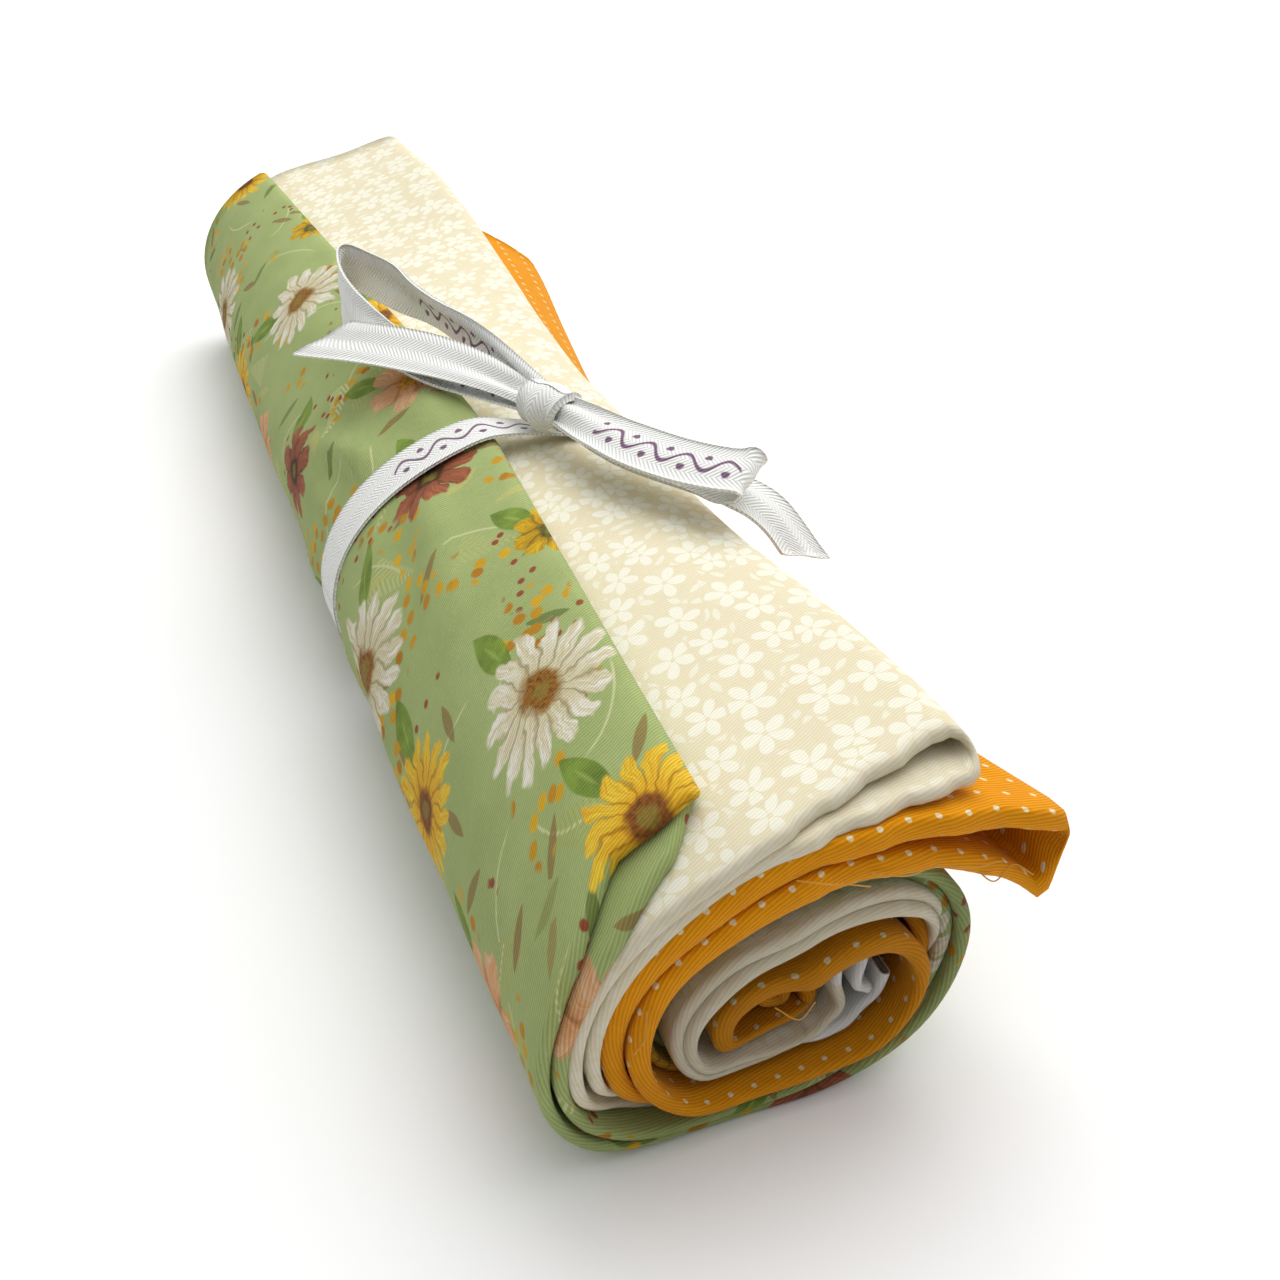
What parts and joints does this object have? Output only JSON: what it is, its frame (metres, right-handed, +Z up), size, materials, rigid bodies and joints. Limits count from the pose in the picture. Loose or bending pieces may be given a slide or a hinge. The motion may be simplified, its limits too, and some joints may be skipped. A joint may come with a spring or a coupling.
{
  "type": "tied roll of folded fabric cuts",
  "caption": "Folded quilting-cotton cuts in floral, tonal and pin-dot prints, stacked, rolled up as a spiral and tied round with a herringbone tape in a bow.",
  "frame": {"origin": "on the flat underside of the roll, below the centre of the roll and halfway along it", "axes": "+Z up, Y along the roll with the folded ends of the cuts at -Y and their raw ends at +Y, +X towards the side where the free edges stick out"},
  "size_m": [0.1273, 0.457, 0.1022],
  "materials": {
    "floral_cotton": "matt plain-weave cotton, sage green with a painted flower print",
    "cream_cotton": "matt plain-weave cotton, cream with tone-on-tone small flowers",
    "dot_cotton": "matt plain-weave cotton, mustard with cream pin dots",
    "twill_tape": "matt white herringbone twill tape"
  },
  "bodies": {
    "roll": {"floral_fabric": "floral_cotton"},
    "cream_layer": {"cream_fabric": "cream_cotton"},
    "dot_layer": {"dot_fabric": "dot_cotton"},
    "tie": {"tie_band": "twill_tape", "tie_knot": "twill_tape"},
    "loop_left": {"tie_loop_left": "twill_tape"},
    "tail_left": {"tie_tail_left": "twill_tape"},
    "loop_right": {"tie_loop_right": "twill_tape"},
    "tail_right": {"tie_tail_right": "twill_tape"}
  },
  "joints": [
    {"name": "cream_slide", "type": "slide", "parent": "roll", "child": "cream_layer", "axis": [0, 1, 0], "range_m": [-0.004, 0.004]},
    {"name": "dot_slide", "type": "slide", "parent": "roll", "child": "dot_layer", "axis": [0, 1, 0], "range_m": [-0.004, 0.004]},
    {"name": "tie_slide", "type": "slide", "parent": "roll", "child": "tie", "axis": [0, 1, 0], "range_m": [-0.005, 0.005]},
    {"name": "loop_left_lift", "type": "hinge", "parent": "tie", "child": "loop_left", "pos_m": [0.015, -0.0485, 0.0887], "axis": [0.9659, 0.2588, 0], "range_deg": [-1, 60]},
    {"name": "tail_left_lift", "type": "hinge", "parent": "tie", "child": "tail_left", "pos_m": [0.0095, -0.0505, 0.0847], "axis": [0.766, 0.6428, 0], "range_deg": [-4, 50]},
    {"name": "loop_right_lift", "type": "hinge", "parent": "tie", "child": "loop_right", "pos_m": [0.0225, -0.065, 0.0882], "axis": [-0.8829, -0.4695, 0], "range_deg": [-2, 60]},
    {"name": "tail_right_swing", "type": "hinge", "parent": "tie", "child": "tail_right", "pos_m": [0.018, -0.057, 0.0857], "axis": [0, 0, 1], "range_deg": [-2, 25]}
  ]
}
